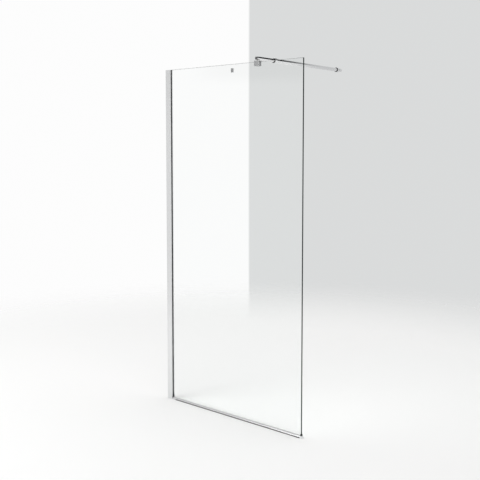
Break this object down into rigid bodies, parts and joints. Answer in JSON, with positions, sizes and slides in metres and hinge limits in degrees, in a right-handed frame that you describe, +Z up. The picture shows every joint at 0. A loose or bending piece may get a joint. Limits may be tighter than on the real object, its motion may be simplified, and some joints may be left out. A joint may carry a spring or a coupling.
{
  "type": "walk-in shower screen",
  "caption": "Tall frameless glass shower screen with a wall profile, a low floor profile and a telescopic stabiliser bar clamped to its top edge.",
  "frame": {"origin": "where the glass's middle plane meets the wall plane and the floor", "axes": "+X along the glass away from its wall, +Y across the glass towards the opposite wall that the bar reaches, +Z up"},
  "size_m": [1.01, 0.836, 2.0323],
  "materials": {
    "aluminium": "bright anodised, fine lines along the extrusion",
    "chrome": "polished",
    "screw_steel": "plain stainless, satin",
    "clear_glass": "clear toughened glass with ground edges",
    "gasket_rubber": "dark grey, matt",
    "pale_seal": "pale translucent sealing strip",
    "grey_plastic": "pale grey, fine grain",
    "nylon": "natural white",
    "badge_metal": "blank, brushed"
  },
  "bodies": {
    "wall_rail": {"wall_channel": "aluminium", "adjusting_screws": "screw_steel", "adjusting_washers": "screw_steel", "screw_covers": "grey_plastic"},
    "screen": {"glazing_profile": "aluminium", "front_gasket": "gasket_rubber", "rear_gasket": "gasket_rubber", "profile_top_cap": "grey_plastic", "glass_panel": "clear_glass", "badge_adhesive": "gasket_rubber", "badge_plate": "badge_metal", "floor_profile": "aluminium", "floor_gasket_front": "pale_seal", "floor_gasket_rear": "pale_seal", "setting_blocks": "nylon", "floor_end_cap": "grey_plastic", "corner_boot": "gasket_rubber"},
    "clamp": {"clamp_saddle": "chrome", "clamp_liner": "gasket_rubber", "clamp_pressure_plate": "screw_steel", "clamp_grub_screws": "screw_steel", "swivel_screw": "screw_steel", "swivel_washer": "nylon"},
    "inner_bar": {"bar_end_fitting": "chrome", "bar_end_cap": "chrome", "fitting_grub_screw": "screw_steel", "inner_tube": "chrome", "inner_tube_bush": "nylon"},
    "outer_bar": {"outer_tube": "chrome", "telescope_collar": "chrome", "wiper_ring": "gasket_rubber", "collar_lock_screw": "screw_steel", "tube_end_fork": "chrome", "fork_ring": "gasket_rubber", "fork_grub_screw": "screw_steel", "pivot_pin": "screw_steel"},
    "wall_end": {"wall_stem": "chrome"}
  },
  "joints": [
    {"name": "width_adjust", "type": "slide", "parent": "wall_rail", "child": "screen", "axis": [1, 0, 0], "range_m": [0, 0.014]},
    {"name": "clamp_slide", "type": "slide", "parent": "screen", "child": "clamp", "axis": [1, 0, 0], "range_m": [-0.14, 0.25]},
    {"name": "bar_swivel", "type": "hinge", "parent": "clamp", "child": "inner_bar", "pos_m": [0.697, 0, 2.0183], "axis": [0, 0, 1], "range_deg": [-60, 60]},
    {"name": "bar_telescope", "type": "slide", "parent": "inner_bar", "child": "outer_bar", "axis": [0, 1, 0], "range_m": [-0.1, 0.3]},
    {"name": "wall_swivel", "type": "hinge", "parent": "outer_bar", "child": "wall_end", "pos_m": [0.697, 0.786, 2.0183], "axis": [0, 0, 1], "range_deg": [-30, 30]}
  ]
}
